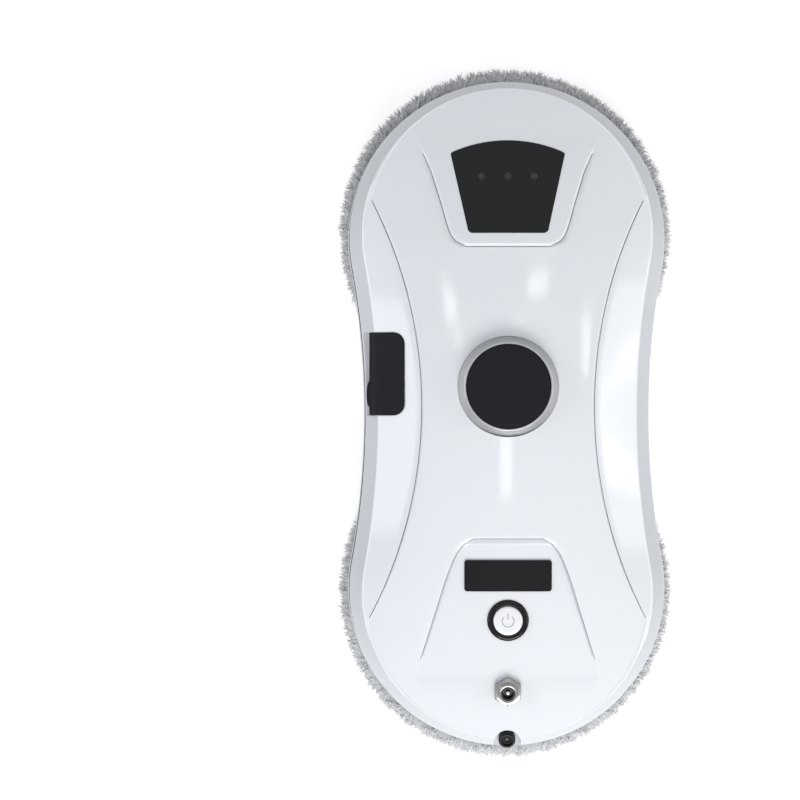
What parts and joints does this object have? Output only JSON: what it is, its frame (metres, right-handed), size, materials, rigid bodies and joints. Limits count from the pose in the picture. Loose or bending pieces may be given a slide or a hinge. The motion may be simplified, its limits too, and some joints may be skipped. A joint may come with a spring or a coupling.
{
  "type": "window cleaning robot",
  "caption": "Figure-eight window cleaning robot: glossy crowned shell on two spinning microfibre pads, with suction fan, water tank, spray nozzle and power socket.",
  "frame": {"origin": "middle of the body on the wiping face of the pads", "axes": "+Z away from the glass through the shell's crown, +Y along the length towards the status window, +X to the right seen from above"},
  "size_m": [0.145, 0.3, 0.07],
  "materials": {
    "shell_grey": "smooth light grey plastic, half gloss",
    "shell_white": "high gloss white plastic with a grey painted edge band",
    "window_smoked": "polished smoked black plastic",
    "led_lens": "milky lens of an unlit status light",
    "circuit_board": "green solder-masked circuit board",
    "screw_steel": "zinc-plated steel",
    "ring_silver": "satin silver with a bevelled rim",
    "cap_black": "fine matt black",
    "label_black": "bare matt black plate",
    "ring_black": "black plastic, half gloss",
    "button_white": null,
    "spring_steel": "bright spring wire",
    "switch_body": "moulded switch body",
    "socket_metal": "nickel-plated threaded barrel",
    "nut_metal": "nickel-plated hexagon nut",
    "socket_insert": "black moulded insert",
    "contact_metal": "bright contact pin",
    "nozzle_black": "black moulded nozzle",
    "atomiser_metal": "perforated steel atomiser disc",
    "rubber_black": "soft black rubber, slightly satin",
    "seal_rubber": "black sealing ring",
    "tank_clear": "milky translucent plastic",
    "pump_body": "dark pump housing",
    "hose_clear": "milky silicone hose",
    "duct_plastic": "dark grey moulded plastic",
    "grille_plastic": "black moulded grille",
    "gasket_rubber": "closed-cell foam rubber",
    "nylon_white": "natural white nylon",
    "shaft_steel": "ground steel shaft",
    "motor_steel": "drawn steel can",
    "wheel_plastic": "black moulded wheel disc",
    "hook_tape": "dark hook tape",
    "pad_fabric": "shaggy pale grey microfibre with a fringe",
    "bush_bronze": "sintered bronze bush",
    "clip_steel": "spring steel clip",
    "pinion_brass": "machined brass",
    "cell_wrap": "shrink-wrapped cell, plain blue"
  },
  "bodies": {
    "chassis": {"base_plate": "shell_grey", "top_cover": "shell_white", "status_window": "window_smoked", "status_leds": "led_lens", "led_board": "circuit_board", "led_screws": "screw_steel", "center_ring": "ring_silver", "center_cap": "cap_black", "label_plate": "label_black", "button_ring": "ring_black", "button_spring": "spring_steel", "button_switch": "switch_body", "dc_socket": "socket_metal", "dc_socket_nut": "nut_metal", "dc_socket_insert": "socket_insert", "dc_socket_pin": "contact_metal", "spray_nozzle": "nozzle_black", "nozzle_disc": "atomiser_metal", "fill_seal": "seal_rubber", "water_tank": "tank_clear", "water_pump": "pump_body", "water_hoses": "hose_clear", "air_duct": "duct_plastic", "inlet_grilles": "grille_plastic", "fan_gasket": "gasket_rubber", "fan_housing": "duct_plastic", "fan_motor": "motor_steel", "fan_screws": "screw_steel", "duct_screws": "screw_steel", "front_gear_motor": "motor_steel", "rear_gear_motor": "motor_steel", "motor_screws": "screw_steel", "control_board": "circuit_board", "board_screws": "screw_steel", "battery_holder": "duct_plastic", "battery_cells": "cell_wrap", "case_screws": "screw_steel"},
    "front_wheel": {"front_wheel": "wheel_plastic", "front_hook_ring": "hook_tape", "front_mop_pad": "pad_fabric", "front_hub_bush": "bush_bronze", "front_drive_gear": "nylon_white", "front_hub_clip": "clip_steel"},
    "rear_wheel": {"rear_wheel": "wheel_plastic", "rear_hook_ring": "hook_tape", "rear_mop_pad": "pad_fabric", "rear_hub_bush": "bush_bronze", "rear_drive_gear": "nylon_white", "rear_hub_clip": "clip_steel"},
    "front_pinion": {"front_pinion": "pinion_brass"},
    "rear_pinion": {"rear_pinion": "pinion_brass"},
    "fan": {"fan_impeller": "nylon_white", "fan_shaft": "shaft_steel"},
    "power_button": {"power_button": "button_white"},
    "fill_cover": {"fill_cover": "rubber_black"}
  },
  "joints": [
    {"name": "front_wheel_spin", "type": "hinge", "parent": "chassis", "child": "front_wheel", "pos_m": [0, 0.0775, 0.0178], "axis": [0, 0, 1], "continuous": true},
    {"name": "rear_wheel_spin", "type": "hinge", "parent": "chassis", "child": "rear_wheel", "pos_m": [0, -0.0775, 0.0178], "axis": [0, 0, 1], "continuous": true},
    {"name": "front_pinion_spin", "type": "hinge", "parent": "chassis", "child": "front_pinion", "pos_m": [-0.042, 0.0775, 0.0208], "axis": [0, 0, 1], "continuous": true},
    {"name": "rear_pinion_spin", "type": "hinge", "parent": "chassis", "child": "rear_pinion", "pos_m": [0.042, -0.0775, 0.0208], "axis": [0, 0, 1], "continuous": true},
    {"name": "fan_spin", "type": "hinge", "parent": "chassis", "child": "fan", "pos_m": [0, 0.0116, 0.044], "axis": [0, 0, 1], "continuous": true},
    {"name": "power_button_press", "type": "slide", "parent": "chassis", "child": "power_button", "axis": [0, 0.1155, -0.9933], "range_m": [0, 0.0012], "stiffness_N_per_m": 600, "springref_m": -0.0008, "deforming": ["button_spring"]},
    {"name": "fill_cover_flip", "type": "hinge", "parent": "chassis", "child": "fill_cover", "pos_m": [-0.044, 0.017, 0.05632], "axis": [0, 1, 0], "range_deg": [0, 100]}
  ],
  "couplings": [
    {"joint": "front_pinion_spin", "follows": "front_wheel_spin", "ratio": -4},
    {"joint": "rear_pinion_spin", "follows": "rear_wheel_spin", "ratio": -4}
  ]
}
